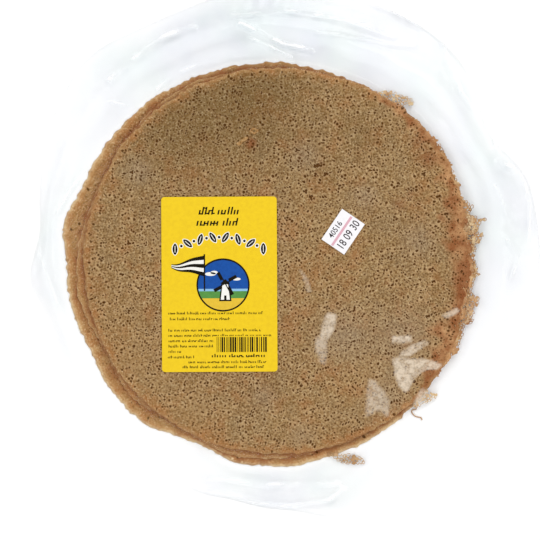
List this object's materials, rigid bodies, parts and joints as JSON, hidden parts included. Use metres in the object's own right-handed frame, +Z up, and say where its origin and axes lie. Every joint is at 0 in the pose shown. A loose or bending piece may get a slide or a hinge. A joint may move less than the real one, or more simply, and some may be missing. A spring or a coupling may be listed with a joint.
{
  "type": "bag of buckwheat galettes",
  "caption": "Sealed clear bag holding a flat stack of brown buckwheat galettes, with a yellow label and a small white date sticker on its film.",
  "frame": {"origin": "on the table, under the middle of the bag's outline", "axes": "+Z up through the flat stack, +Y towards the top of the label, +X to the label's right"},
  "size_m": [0.3496, 0.3624, 0.0087],
  "materials": {
    "film": "gloss",
    "galette": "matte",
    "label_paper": "satin",
    "sticker_paper": "satin"
  },
  "bodies": {
    "root": {"bag": "film", "label": "label_paper", "date_sticker": "sticker_paper"}
  },
  "joints": []
}
